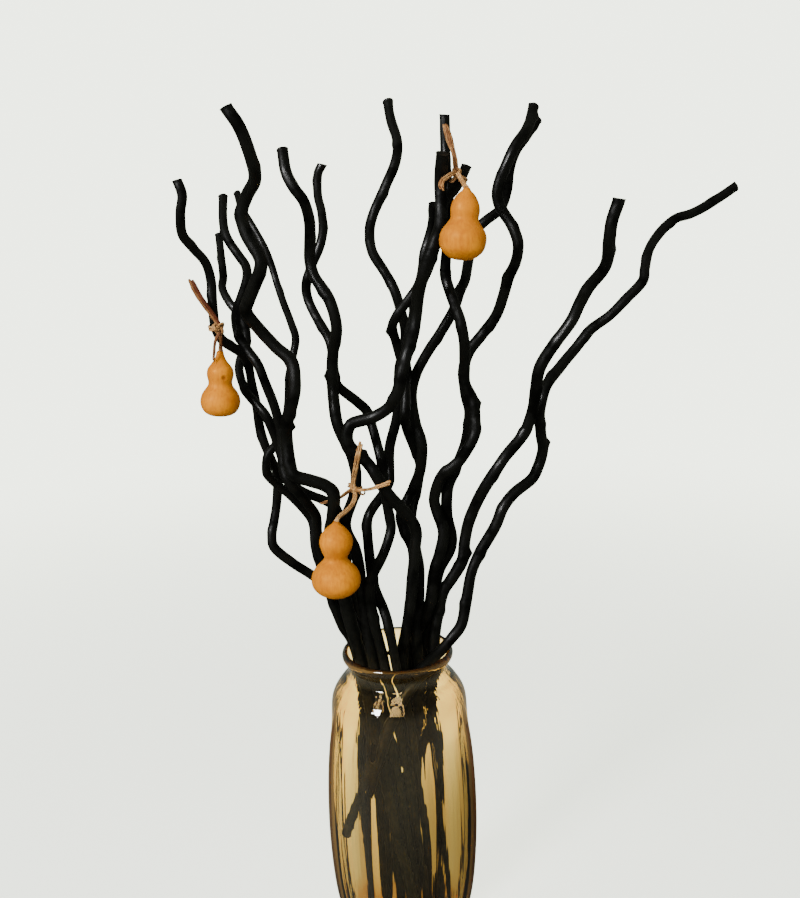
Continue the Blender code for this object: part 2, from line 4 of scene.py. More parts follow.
import bmesh
import bpy
import numpy as np
from mathutils import Euler, Matrix, Vector, noise


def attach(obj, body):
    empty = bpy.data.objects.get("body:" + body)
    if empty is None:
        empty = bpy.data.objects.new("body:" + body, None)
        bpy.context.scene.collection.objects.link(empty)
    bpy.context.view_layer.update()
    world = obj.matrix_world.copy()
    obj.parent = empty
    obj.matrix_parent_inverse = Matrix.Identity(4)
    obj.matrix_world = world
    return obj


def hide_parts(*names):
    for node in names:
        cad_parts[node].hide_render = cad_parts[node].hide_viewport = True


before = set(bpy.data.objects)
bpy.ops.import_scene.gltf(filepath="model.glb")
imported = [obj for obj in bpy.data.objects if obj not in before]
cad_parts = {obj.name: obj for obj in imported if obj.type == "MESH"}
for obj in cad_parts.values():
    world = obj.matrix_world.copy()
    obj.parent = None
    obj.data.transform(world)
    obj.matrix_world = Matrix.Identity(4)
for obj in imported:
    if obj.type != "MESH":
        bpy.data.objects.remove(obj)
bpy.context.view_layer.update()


# The view: the camera stands a little above the stems' middle, tipped down and a touch askew. A
# pale floor melts into a pale surround under a window's soft light from the left. The camera sees
# both bright, also straight through glass, and matt or mirroring skins get far less from them.
camera = bpy.data.objects.new("camera", bpy.data.cameras.new("camera"))
camera.data.lens = 38.486
camera.data.clip_start = 0.01
aim = Euler((math.radians(77.7), 0.0, math.radians(-0.567))).to_matrix()
camera.matrix_world = (Matrix.Translation((0.0, -0.713, 0.567))
                       @ (aim @ Matrix.Rotation(math.radians(-1.8), 3, "Z")).to_4x4())
bpy.context.scene.collection.objects.link(camera)
bpy.context.scene.camera = camera

PALE = (0.94, 1.0, 0.84, 1.0)
PALE_STRENGTH = 4.1
# What is left of the look through glass for light that the glass has also mirrored.
MIRRORED_SHARE = 0.11
FLOOR_RADIUS = 3.2
FLOOR_DROP = 0.0004
PANE_SIZE = (0.21, 0.21)
PANE_STEP = 0.26


def add_node(tree, kind, **values):
    """A node of a kind, with its sockets' values given by name."""
    made = tree.nodes.new(kind)
    for name, value in values.items():
        made.inputs[name.replace("_", " ")].default_value = value
    return made


def new_finish(name):
    """A material with its node tree and its Principled shader."""
    finish = bpy.data.materials.new(name)
    finish.use_nodes = True
    return finish, finish.node_tree, finish.node_tree.nodes["Principled BSDF"]


def by_ray(tree, plain, lit, shiny, clear):
    """One look for the camera, and others for matt skins, for mirroring ones and through glass."""
    ray = tree.nodes.new("ShaderNodeLightPath")
    straight = add_node(tree, "ShaderNodeMapRange", To_Min=1.0, To_Max=MIRRORED_SHARE)
    through = tree.nodes.new("ShaderNodeMath")
    through.operation = "MULTIPLY"
    tree.links.new(ray.outputs["Glossy Depth"], straight.inputs["Value"])
    tree.links.new(ray.outputs["Is Singular Ray"], through.inputs[0])
    tree.links.new(straight.outputs[0], through.inputs[1])
    shares = (ray.outputs["Is Diffuse Ray"], ray.outputs["Is Glossy Ray"], through.outputs[0])
    look = plain
    for share, other in zip(shares, (lit, shiny, clear)):
        mix = tree.nodes.new("ShaderNodeMixShader")
        tree.links.new(share, mix.inputs[0])
        tree.links.new(look.outputs[0], mix.inputs[1])
        tree.links.new(other.outputs[0], mix.inputs[2])
        look = mix
    return look


surround = bpy.data.worlds.new("pale_surround")
bpy.context.scene.world = surround
surround.use_nodes = True
tree = surround.node_tree
seen = tree.nodes["Background"]
seen.inputs["Color"].default_value = PALE
seen.inputs["Strength"].default_value = PALE_STRENGTH
soft = add_node(tree, "ShaderNodeBackground", Color=(0.94, 0.97, 1.0, 1.0), Strength=0.10)
dim = add_node(tree, "ShaderNodeBackground", Color=(1.0, 0.94, 0.76, 1.0), Strength=0.06)
walls = add_node(tree, "ShaderNodeBackground", Color=PALE)
where = tree.nodes.new("ShaderNodeTexCoord")
height = tree.nodes.new("ShaderNodeSeparateXYZ")
# Through glass the walls are bright near eye level and dimmer overhead.
ceiling = add_node(tree, "ShaderNodeMapRange", From_Min=0.15, From_Max=0.55, To_Min=3.4, To_Max=0.8)
tree.links.new(where.outputs["Generated"], height.inputs[0])
tree.links.new(height.outputs["Z"], ceiling.inputs["Value"])
tree.links.new(ceiling.outputs[0], walls.inputs["Strength"])
tree.links.new(by_ray(tree, seen, soft, dim, walls).outputs[0],
               tree.nodes["World Output"].inputs["Surface"])

shape = bmesh.new()
bmesh.ops.create_circle(shape, cap_ends=True, radius=FLOOR_RADIUS, segments=96)
bmesh.ops.translate(shape, vec=(0.0, 0.0, -FLOOR_DROP), verts=shape.verts)
floor = bpy.data.objects.new("floor", bpy.data.meshes.new("floor"))
shape.to_mesh(floor.data)
shape.free()
bpy.context.scene.collection.objects.link(floor)
floor_paint, tree, shader = new_finish("pale_floor")
shader.inputs["Base Color"].default_value = (0.84, 0.85, 0.82, 1.0)
shader.inputs["Roughness"].default_value = 0.8
shader.inputs["Specular IOR Level"].default_value = 0.1
where = tree.nodes.new("ShaderNodeTexCoord")
# Half of the floor's look is the surround's own glow near the vase, and all of it far away.
away = tree.nodes.new("ShaderNodeVectorMath")
away.operation = "LENGTH"
fade = add_node(tree, "ShaderNodeMapRange", From_Min=0.3, From_Max=1.9, To_Min=0.5)
fade.interpolation_type = "SMOOTHSTEP"
haze = add_node(tree, "ShaderNodeEmission", Color=PALE, Strength=PALE_STRENGTH)
far_mix = tree.nodes.new("ShaderNodeMixShader")
# The floor looks dull in satin and glass, and sends little back to matt pieces. Straight through
# glass it carries a painted shadow, darkest right of the vase's foot.
dull = add_node(tree, "ShaderNodeBsdfDiffuse", Color=(0.038, 0.036, 0.029, 1.0))
bounced = add_node(tree, "ShaderNodeBsdfDiffuse", Color=(0.18, 0.18, 0.17, 1.0))
beside = tree.nodes.new("ShaderNodeVectorMath")
beside.operation = "DISTANCE"
beside.inputs[1].default_value = (0.15, 0.05, 0.0)
shade = add_node(tree, "ShaderNodeMapRange", From_Min=0.1, From_Max=0.45, To_Min=0.7, To_Max=3.6)
shade.interpolation_type = "SMOOTHSTEP"
through = add_node(tree, "ShaderNodeEmission", Color=PALE)
tree.links.new(where.outputs["Object"], away.inputs[0])
tree.links.new(away.outputs["Value"], fade.inputs["Value"])
tree.links.new(fade.outputs[0], far_mix.inputs[0])
tree.links.new(shader.outputs[0], far_mix.inputs[1])
tree.links.new(haze.outputs[0], far_mix.inputs[2])
tree.links.new(where.outputs["Object"], beside.inputs[0])
tree.links.new(beside.outputs["Value"], shade.inputs["Value"])
tree.links.new(shade.outputs[0], through.inputs["Strength"])
tree.links.new(by_ray(tree, far_mix, bounced, dull, through).outputs[0],
               tree.nodes["Material Output"].inputs["Surface"])
floor.data.materials.append(floor_paint)


def lamp(name, place, target, size, watts, mirrored=True):
    """A soft rectangular lamp that faces a point."""
    data = bpy.data.lights.new(name, "AREA")
    data.shape = "RECTANGLE"
    data.size, data.size_y = size
    data.energy = watts
    light = bpy.data.objects.new(name, data)
    facing = (Vector(target) - Vector(place)).to_track_quat("-Z", "Y").to_matrix().to_4x4()
    light.matrix_world = Matrix.Translation(place) @ facing
    light.visible_glossy = mirrored
    bpy.context.scene.collection.objects.link(light)
    return light


# The window's four panes show in glass and satin, and the two other lamps don't.
for across in (-0.5, 0.5):
    for up in (-0.5, 0.5):
        pane = lamp(f"pane_{across:+.1f}_{up:+.1f}", (-1.5, -1.6, 1.5), (0.0, 0.0, 0.35),
                    PANE_SIZE, 26.0)
        shift = Matrix.Translation((across * PANE_STEP, up * PANE_STEP, 0.0))
        pane.matrix_world = pane.matrix_world @ shift
lamp("room_light", (-0.15, -1.8, 1.35), (0.0, 0.0, 0.4), (0.7, 0.6), 51.0, mirrored=False)
lamp("back_light", (0.4, 1.9, 1.8), (0.0, 0.0, 0.3), (2.0, 1.2), 9.0, mirrored=False)


# The vase: clear amber glass blown into a mould with flat panels, with a round shoulder, a short
# neck and a rolled lip. The wall is thick along the ribs and rippled inside, and a fine relief is
# drawn out up the glass. The outlines are radius and height in millimetres.
VASE_PANELS = 8
VASE_SIDE = ((43.0, 0.0), (45.6, 0.7), (46.8, 2.5), (50.8, 11), (55.9, 28), (60.4, 52), (62.9, 78),
             (64.1, 104), (64.1, 126), (63.4, 147), (61.9, 168), (59.5, 187), (56, 202), (52, 215),
             (46, 224.5), (40.9, 230), (39, 234.5))
VASE_LIP = ((39.9, 239), (42.6, 242.4), (44, 245.4), (43.8, 248.2), (42.2, 249.8), (40.6, 249.6),
            (39.4, 247.6), (38.2, 243), (36.2, 238))
VASE_INSIDE = ((37.4, 230.5), (42.6, 223.4), (48.6, 213.8), (52.6, 201.2), (56.1, 186.4),
               (58.5, 167.6), (60.0, 146.8), (60.7, 126), (60.7, 104), (59.5, 78), (57, 52),
               (52.4, 28), (46.5, 13.5), (43.0, 10.6), (37.0, 9.0))
# Heights in metres between which the pressing begins, at the shoulder and at the foot.
PANEL_TOP = (0.214, 0.186)
PANEL_FOOT = (0.002, 0.024)
# No panel reaches nearer to the axis or higher than this.
PRESSED_BEYOND = 0.02
PRESSED_BELOW = 0.2345
# A point this much nearer to the axis than the outer side is on the inner wall.
WALL_SPLIT = 0.0015
# How flat the panels are, and how far they draw the whole wall in.
OUTER_PRESS = (1.0, 0.0)
INNER_PRESS = (0.4, 0.35)
RIB_ROUNDING = np.radians((-1.8, -0.6, 0.6, 1.8))
RIPPLE = 0.0030
RIPPLED_BELOW = 0.225
GLASS_STEPS = 256


def smooth_line(points, step):
    """Catmull-Rom curve through points of any size, read at even distances."""
    points = np.asarray(points, float)
    ends = np.vstack([2 * points[0] - points[1], points, 2 * points[-1] - points[-2]])
    t = np.linspace(0.0, 1.0, 12, endpoint=False)[:, None]
    parts = [0.5 * (2 * b + (c - a) * t + (2 * a - 5 * b + 4 * c - d) * t ** 2
                    + (3 * b - a - 3 * c + d) * t ** 3)
             for a, b, c, d in zip(ends, ends[1:], ends[2:], ends[3:])]
    curve = np.vstack(parts + [points[-1:]])
    room = min(3, curve.shape[1])
    steps = np.linalg.norm(np.diff(curve[:, :room], axis=0), axis=1)
    far = np.concatenate([[0.0], np.cumsum(steps)])
    places = np.linspace(0.0, far[-1], max(2, round(far[-1] / step) + 1))
    return np.stack([np.interp(places, far, column) for column in curve.T], axis=-1)


def piece(shape, name, node, finish, smooth_angle=180.0):
    """Turns finished mesh work into a piece that rides on the part and stands for a CAD node."""
    obj = bpy.data.objects.new(name, bpy.data.meshes.new(name))
    shape.to_mesh(obj.data)
    shape.free()
    obj.data.materials.append(finish)
    obj.data.shade_smooth()
    if smooth_angle < 180.0:
        obj.data.set_sharp_from_angle(angle=math.radians(smooth_angle))
    bpy.context.scene.collection.objects.link(obj)
    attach(obj, "root")
    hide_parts(node)
    return obj


def eased(value, start, end):
    """0 at start, 1 at end, eased between them."""
    share = min(max((value - start) / (end - start), 0.0), 1.0)
    return share * share * (3.0 - 2.0 * share)


amber, tree, shader = new_finish("amber_glass")
shader.inputs["Base Color"].default_value = (0.985, 0.88, 0.52, 1.0)
shader.inputs["Roughness"].default_value = 0.0
shader.inputs["IOR"].default_value = 1.5
shader.inputs["Transmission Weight"].default_value = 1.0
shader.inputs["Specular IOR Level"].default_value = 0.2
where = tree.nodes.new("ShaderNodeTexCoord")
drawn = add_node(tree, "ShaderNodeMapping", Scale=(300.0, 300.0, 7.0))
streaks = add_node(tree, "ShaderNodeTexNoise", Scale=1.0, Detail=1.0)
relief = add_node(tree, "ShaderNodeBump", Strength=0.28, Distance=0.0006)
depth = add_node(tree, "ShaderNodeVolumeAbsorption", Color=(0.82, 0.62, 0.32, 1.0), Density=240.0)
tree.links.new(where.outputs["Object"], drawn.inputs["Vector"])
tree.links.new(drawn.outputs[0], streaks.inputs["Vector"])
tree.links.new(streaks.outputs["Fac"], relief.inputs["Height"])
tree.links.new(relief.outputs[0], shader.inputs["Normal"])
tree.links.new(depth.outputs[0], tree.nodes["Material Output"].inputs["Volume"])

shape = bmesh.new()
outer = smooth_line(VASE_SIDE + VASE_LIP, 2.0)
inner = smooth_line(VASE_INSIDE, 3.0)
profile = np.vstack([[(0.0, 0.0)], outer, inner, [(0.0, 9.0)]]) * 0.001
verts = [shape.verts.new((r, 0.0, h)) for r, h in profile]
edges = [shape.edges.new(pair) for pair in zip(verts, verts[1:])]
bmesh.ops.spin(shape, geom=verts + edges, cent=(0, 0, 0), axis=(0, 0, 1), dvec=(0, 0, 0),
               angle=2 * math.pi, steps=GLASS_STEPS, use_merge=True)
bmesh.ops.remove_doubles(shape, verts=shape.verts, dist=0.000002)
side_radii, side_heights = np.array(VASE_SIDE).T * 0.001
half = math.pi / VASE_PANELS
for vert in shape.verts:
    angle = math.atan2(vert.co.y, vert.co.x)
    radius, height = math.hypot(vert.co.x, vert.co.y), vert.co.z
    if radius < PRESSED_BEYOND or height > PRESSED_BELOW:
        continue
    inside = radius < float(np.interp(height, side_heights, side_radii)) - WALL_SPLIT
    turns = (angle + RIB_ROUNDING + math.pi / 2 + half) % (2 * half) - half
    depth_of_press = eased(height, *PANEL_TOP) * eased(height, *PANEL_FOOT)
    flatness, drawn_in = INNER_PRESS if inside else OUTER_PRESS
    pressed = float(np.mean((math.cos(half) / np.cos(turns)) ** (flatness * depth_of_press)))
    pressed *= math.cos(half) ** (drawn_in * depth_of_press)
    if inside and height < RIPPLED_BELOW:
        x, y = math.cos(angle), math.sin(angle)
        ripple = noise.noise(Vector((x * 7, y * 7, height * 5)))
        ripple += 0.5 * noise.noise(Vector((x * 15, y * 15, height * 4)))
        pressed += RIPPLE * ripple
    vert.co.x *= pressed
    vert.co.y *= pressed
bmesh.ops.recalc_face_normals(shape, faces=shape.faces)
vase = piece(shape, "glass_vase", "vase", amber, smooth_angle=50.0)
vase.visible_shadow = False


# The stems: willow shoots that grew in waves, dried, dyed black and cut square at both ends. The
# bark is finely ridged along the shoot, with low swellings at the buds and stubs of side twigs.
# Each follows the centre line of its CAD solid, from the tip to the foot.
STEM_COUNT = 16
STEM_SIDES = 18
STEM_STEP = 2.2
# What the bark adds to the solid's radius above the vase and inside it, in millimetres, and the
# heights between which the one passes into the other.
BARK, BARK_IN_VASE = 0.75, 0.4
BARK_CHANGES = (245.0, 290.0)
BUD_SPACING, BUD_SIZE, BUD_TURN = 41.0, 3.4, 2.4
STUB_SIZE = 2.4
# Each stub's stem, and its place across and up in the plane y = 0 as the camera at EYE sees it, in
# millimetres.
TWIG_STUBS = ((6, -46, 470), (9, 68, 444), (16, 119, 413), (15, 59, 326), (11, 1, 501),
              (5, -72, 431), (10, -19, 410), (13, 113, 649))
EYE = np.array([0.0, -713.0, 567.0])
# How far a tip's cut leans, as a share of its radius, and the stems where that is different.
SLANT = 0.1
SLANTED_CUTS = {2: -0.15, 4: -0.2, 6: -0.1, 7: -0.35, 8: 0.0, 11: 0.15, 12: -0.1, 15: -0.15,
                16: 0.2}
# The sharp edge round a rod's tip, and how far it reaches from its highest point in metres.
RIM_ANGLE = math.radians(62)
RIM_REACH = 0.0115


def solid_line(node):
    """Centre and radius of each ring of a CAD rod in millimetres, from its tip down."""
    shape = bmesh.new()
    shape.from_mesh(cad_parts[node].data)
    bmesh.ops.remove_doubles(shape, verts=shape.verts, dist=0.000005)
    rim = [e for e in shape.edges if e.is_manifold and e.calc_face_angle() > RIM_ANGLE]
    top = max((v for e in rim for v in e.verts), key=lambda v: v.co.z)
    ring = {v for e in rim for v in e.verts if (v.co - top.co).length < RIM_REACH}
    seen, rings = set(), []
    while ring:
        seen |= ring
        spots = np.array([v.co for v in ring]) * 1000.0
        centre = spots.mean(axis=0)
        rings.append([*centre, np.linalg.norm(spots - centre, axis=1).mean()])
        ring = {e.other_vert(v) for v in ring for e in v.link_edges} - seen
    shape.free()
    return np.array(rings)


def bend_rod(shape, line, sides, swell, tone=0.0, slant=0.0):
    """Makes a straight rod with a ring for each point of a line, and bends it along the line."""
    vectors, values = shape.verts.layers.float_vector, shape.verts.layers.float
    grain = vectors.get("grain") or vectors.new("grain")
    tones = values.get("tone") or values.new("tone")
    count, before = len(line) - 1, len(shape.verts)
    made = bmesh.ops.create_cone(shape, cap_ends=True, segments=sides, radius1=1.0, radius2=1.0,
                                 depth=float(count))["verts"]
    long_edges = {e for v in made for e in v.link_edges
                  if abs(e.verts[0].co.z - e.verts[1].co.z) > 0.5}
    bmesh.ops.subdivide_edges(shape, edges=list(long_edges), cuts=count - 1)
    shape.verts.ensure_lookup_table()
    points = line[:, :3]
    run = np.gradient(points, axis=0)
    run /= np.linalg.norm(run, axis=1)[:, None]
    far = np.concatenate([[0.0], np.cumsum(np.linalg.norm(np.diff(points, axis=0), axis=1))])
    side = np.cross(run[0], (0.0, 1.0, 0.0))
    sides_at = []
    for way in run:
        side = side - way * side.dot(way)
        side /= np.linalg.norm(side)
        sides_at.append(side)
    over_at = np.cross(run, sides_at)
    for vert in shape.verts[before:]:
        row = count - round(vert.co.z + count / 2)
        angle = math.atan2(vert.co.y, vert.co.x)
        way = sides_at[row] * math.cos(angle) + over_at[row] * math.sin(angle)
        spot = points[row] + way * line[row, 3] * swell(row, angle, way, far[row], far[-1])
        spot += run[row] * slant * line[row, 3] * math.cos(angle) * math.exp(-far[row] / 2.0)
        vert[grain] = (math.cos(angle) * line[row, 3], math.sin(angle) * line[row, 3], far[row])
        vert[tones] = tone
        vert.co = spot * 0.001


def new_group(name, inputs, outputs):
    """A node group with named sockets, for an effect that several finishes share."""
    tree = bpy.data.node_groups.new(name, "ShaderNodeTree")
    for direction, sockets in (("INPUT", inputs), ("OUTPUT", outputs)):
        for socket, kind in sockets:
            tree.interface.new_socket(name=socket, in_out=direction,
                                      socket_type="NodeSocket" + kind)
    return tree, tree.nodes.new("NodeGroupInput"), tree.nodes.new("NodeGroupOutput")


def place_group(tree, group, **values):
    """A group placed in a finish, with that finish's own values."""
    made = tree.nodes.new("ShaderNodeGroup")
    made.node_tree = group
    for name, value in values.items():
        made.inputs[name].default_value = value
    return made


# Fibres drawn out along a shoot or a vine: the ridges' height, and the light's break on them.
long_fibres, taken, given = new_group(
    "long_fibres",
    (("Grain", "Vector"), ("Across", "Float"), ("Along", "Float"), ("Depth", "Float")),
    (("Ridge", "Float"), ("Normal", "Vector")))
spread = long_fibres.nodes.new("ShaderNodeCombineXYZ")
stretch = long_fibres.nodes.new("ShaderNodeVectorMath")
stretch.operation = "MULTIPLY"
threads = add_node(long_fibres, "ShaderNodeTexNoise", Scale=1.0, Detail=6.0, Roughness=0.62)
relief = add_node(long_fibres, "ShaderNodeBump", Strength=0.8)
for axis in "XY":
    long_fibres.links.new(taken.outputs["Across"], spread.inputs[axis])
long_fibres.links.new(taken.outputs["Along"], spread.inputs["Z"])
long_fibres.links.new(taken.outputs["Grain"], stretch.inputs[0])
long_fibres.links.new(spread.outputs[0], stretch.inputs[1])
long_fibres.links.new(stretch.outputs[0], threads.inputs["Vector"])
long_fibres.links.new(taken.outputs["Depth"], relief.inputs["Distance"])
long_fibres.links.new(threads.outputs["Fac"], relief.inputs["Height"])
long_fibres.links.new(threads.outputs["Fac"], given.inputs["Ridge"])
long_fibres.links.new(relief.outputs[0], given.inputs["Normal"])

# Soft patches, as where a skin or bark is rubbed, weathered or waxy, or bark's dust and painted
# sheen: a value between two limits.
patches, taken, given = new_group(
    "patches", (("Place", "Vector"), ("Size", "Float"), ("Low", "Float"), ("High", "Float")),
    (("Value", "Float"),))
cloud = add_node(patches, "ShaderNodeTexNoise", Detail=3.0, Roughness=0.55)
limits = add_node(patches, "ShaderNodeMapRange", From_Min=0.36, From_Max=0.64)
patches.links.new(taken.outputs["Place"], cloud.inputs["Vector"])
patches.links.new(taken.outputs["Size"], cloud.inputs["Scale"])
patches.links.new(cloud.outputs["Fac"], limits.inputs["Value"])
patches.links.new(taken.outputs["Low"], limits.inputs["To Min"])
patches.links.new(taken.outputs["High"], limits.inputs["To Max"])
patches.links.new(limits.outputs[0], given.inputs["Value"])

dyed, tree, shader = new_finish("black_dyed_bark")
grain = tree.nodes.new("ShaderNodeAttribute")
grain.attribute_name = "grain"
where = tree.nodes.new("ShaderNodeTexCoord")
ridges = place_group(tree, long_fibres, Across=2.1, Along=0.14, Depth=0.00018)
# Patches where the black bark turns greyer, partly dust and partly painted sheen.
dust_and_sheen_mask = place_group(tree, patches, Size=42.0, Low=0.0, High=1.0)
# Both follow the same patches, so that smooth spots shine and rough ones hardly do.
satin = place_group(tree, patches, Size=60.0, Low=0.28, High=0.58)
sheen = place_group(tree, patches, Size=60.0, Low=0.26, High=0.025)
black = tree.nodes.new("ShaderNodeValToRGB")
black.color_ramp.elements[0].position = 0.32
black.color_ramp.elements[0].color = (0.0003, 0.0003, 0.0002, 1.0)
black.color_ramp.elements[1].position = 0.74
black.color_ramp.elements[1].color = (0.0009, 0.0009, 0.0007, 1.0)
# The greyer colour in those patches: partly dust, partly painted sheen.
dust_and_sheen = add_node(tree, "ShaderNodeMixRGB", Color2=(0.0013, 0.0013, 0.0010, 1.0))
tree.links.new(grain.outputs["Vector"], ridges.inputs["Grain"])
tree.links.new(where.outputs["Object"], dust_and_sheen_mask.inputs["Place"])
tree.links.new(where.outputs["Object"], satin.inputs["Place"])
tree.links.new(where.outputs["Object"], sheen.inputs["Place"])
tree.links.new(ridges.outputs["Ridge"], black.inputs["Fac"])
tree.links.new(dust_and_sheen_mask.outputs["Value"], dust_and_sheen.inputs["Fac"])
tree.links.new(black.outputs["Color"], dust_and_sheen.inputs["Color1"])
tree.links.new(dust_and_sheen.outputs["Color"], shader.inputs["Base Color"])
tree.links.new(satin.outputs["Value"], shader.inputs["Roughness"])
tree.links.new(sheen.outputs["Value"], shader.inputs["Specular IOR Level"])
tree.links.new(ridges.outputs["Normal"], shader.inputs["Normal"])

for number in range(1, STEM_COUNT + 1):
    node = f"willow_stem_{number:02d}"
    line = smooth_line(solid_line(node), STEM_STEP)
    out_of_vase = np.array([eased(z, *BARK_CHANGES) for z in line[:, 2]])
    line[:, 3] += BARK_IN_VASE + (BARK - BARK_IN_VASE) * out_of_vase
    on_plane = EYE + (line[:, :3] - EYE) * (-EYE[1] / (line[:, 1:2] - EYE[1]))
    stubs = []
    for stem, across, up in TWIG_STUBS:
        if stem == number:
            away = np.array([across, 0.0, up]) - on_plane
            row = int(np.linalg.norm(away[:, [0, 2]], axis=1).argmin())
            stubs.append((row, away[row] / np.linalg.norm(away[row])))
    phase = number * 7.31

    def bark(row, angle, way, far, length):
        """Low ridges along the shoot, swellings at the buds and stubs of cut side twigs."""
        around = Vector((math.cos(angle), math.sin(angle), 0.0))
        grown = 1.0 + 0.09 * noise.noise(around * 1.1 + Vector((phase, 0.0, far * 0.045)))
        grown += 0.045 * noise.noise(around * 2.6 + Vector((0.0, phase, far * 0.08)))
        grown += 0.02 * noise.noise(around * 5.5 + Vector((0.0, phase, far * 0.05)))
        bud = abs((far / BUD_SPACING + phase) % 1.0 - 0.5) * BUD_SPACING
        face = math.cos(angle - BUD_TURN * int(far / BUD_SPACING + phase))
        grown += 0.20 * math.exp(-(bud / BUD_SIZE) ** 2) * max(face, 0.0)
        burr = math.exp(-min(far, length - far) / 1.5)
        grown += 0.10 * burr * noise.noise(around * 2.2 + Vector((phase, phase, 0.0)))
        for at, out in stubs:
            close = math.exp(-((row - at) * STEM_STEP / STUB_SIZE) ** 2)
            grown += 0.5 * close * max(float(way @ out), 0.0) ** 3
        return grown

    shape = bmesh.new()
    bend_rod(shape, line, STEM_SIDES, bark, slant=SLANTED_CUTS.get(number, SLANT))
    rims = [e for e in shape.edges if any(len(f.verts) > 4 for f in e.link_faces)]
    bmesh.ops.bevel(shape, geom=rims, offset=0.0003, affect="EDGES", segments=2, profile=0.5,
                    material=-1)
    bmesh.ops.recalc_face_normals(shape, faces=shape.faces)
    piece(shape, f"stem_{number:02d}", node, dyed, smooth_angle=60.0)


# The gourds: small bottle gourds, dried whole on the vine, with a smooth golden skin that is a
# little darker round the stalk and at the blossom scar underneath. Each row gives a name, the top,
# the swing in degrees, and the outline as radius and depth under the top, in millimetres.
GOURDS = (
    ("gourd_left", (-118.78, -30.0, 494.2), 3.5,
     ((2.0, 0.6), (2.6, 1.8), (2.9, 3.4), (3.4, 5.0), (4.3, 6.8), (5.8, 9.0), (7.6, 11.2),
      (8.9, 13.2), (9.5, 15.6), (9.4, 18.4), (8.7, 21.2), (8.4, 23.0), (8.6, 24.6), (9.5, 26.4),
      (11.1, 28.4), (12.6, 30.6), (13.6, 32.8), (14.2, 35.4), (14.2, 38.0), (13.5, 40.6),
      (12.3, 42.9), (10.4, 45.0), (7.4, 46.6), (3.2, 47.4))),
    ("gourd_top", (55.78, -61.0, 599.01), 5.6,
     ((1.9, 0), (3.1, 1.9), (5.2, 3.8), (7.3, 6.6), (9.1, 10.4), (9.8, 14.2), (9.5, 17.4),
      (9.3, 19.2), (9.8, 21.2), (11.2, 23.2), (12.9, 25.4), (14.4, 27.6), (15.5, 30.6),
      (15.8, 33.6), (15.5, 36.8), (14.9, 39.2), (13.6, 41.4), (11.0, 43.8), (7.4, 46.0),
      (3.0, 47.0))),
    ("gourd_front", (-41.16, -46.0, 369.61), 2.7,
     ((1.9, 0), (2.8, 1.2), (4.2, 2.7), (6.4, 4.5), (8.6, 6.8), (10.1, 8.7), (11.4, 11.0),
      (12.2, 14.0), (12.3, 16.4), (11.6, 19.4), (9.9, 23.6), (8.5, 26.8), (9.3, 29.2), (12.4, 32.6),
      (16.0, 37.0), (18.0, 42.8), (17.2, 48.8), (13.1, 53.6), (7.8, 56.5), (3.0, 57.3))),
)
GOURD_SIDES = 72
# The left gourd's dent, with a low swelling round it.
DENT = Vector((-115.7, -38.7, 475.3))
DENT_SIZE, DENT_DEPTH = 1.7, 0.45
SWELLING_AT, SWELLING_SIZE, SWELLING_HEIGHT = 2.5, 0.8, 0.35

skin, tree, shader = new_finish("gourd_skin")
shader.inputs["Specular IOR Level"].default_value = 0.27
shader.inputs["Specular Tint"].default_value = (1.0, 0.52, 0.06, 1.0)
aging = tree.nodes.new("ShaderNodeAttribute")
aging.attribute_name = "age"
where = tree.nodes.new("ShaderNodeTexCoord")
ripened = place_group(tree, patches, Size=48.0, Low=0.0, High=1.0)
drawn = add_node(tree, "ShaderNodeMapping", Scale=(520.0, 520.0, 110.0))
flecks = add_node(tree, "ShaderNodeTexNoise", Scale=1.0, Detail=4.0, Roughness=0.6)
fleck = add_node(tree, "ShaderNodeMapRange", From_Min=0.42, From_Max=0.70, To_Max=0.55)
waxy = place_group(tree, patches, Size=110.0, Low=0.36, High=0.48)
golden = add_node(tree, "ShaderNodeMixRGB", Color1=(0.33, 0.104, 0.003, 1.0),
                  Color2=(0.46, 0.160, 0.004, 1.0))
flecked = add_node(tree, "ShaderNodeMixRGB", Color2=(0.25, 0.062, 0.004, 1.0))
aged = add_node(tree, "ShaderNodeMixRGB", Color2=(0.13, 0.032, 0.006, 1.0))
pitted = add_node(tree, "ShaderNodeBump", Strength=0.16, Distance=0.0003)
tree.links.new(where.outputs["Object"], ripened.inputs["Place"])
tree.links.new(where.outputs["Object"], waxy.inputs["Place"])
tree.links.new(where.outputs["Object"], drawn.inputs["Vector"])
tree.links.new(drawn.outputs[0], flecks.inputs["Vector"])
tree.links.new(flecks.outputs["Fac"], fleck.inputs["Value"])
tree.links.new(ripened.outputs["Value"], golden.inputs["Fac"])
tree.links.new(fleck.outputs[0], flecked.inputs["Fac"])
tree.links.new(golden.outputs["Color"], flecked.inputs["Color1"])
tree.links.new(aging.outputs["Fac"], aged.inputs["Fac"])
tree.links.new(flecked.outputs["Color"], aged.inputs["Color1"])
tree.links.new(aged.outputs["Color"], shader.inputs["Base Color"])
tree.links.new(waxy.outputs["Value"], shader.inputs["Roughness"])
tree.links.new(flecks.outputs["Fac"], pitted.inputs["Height"])
tree.links.new(pitted.outputs[0], shader.inputs["Normal"])

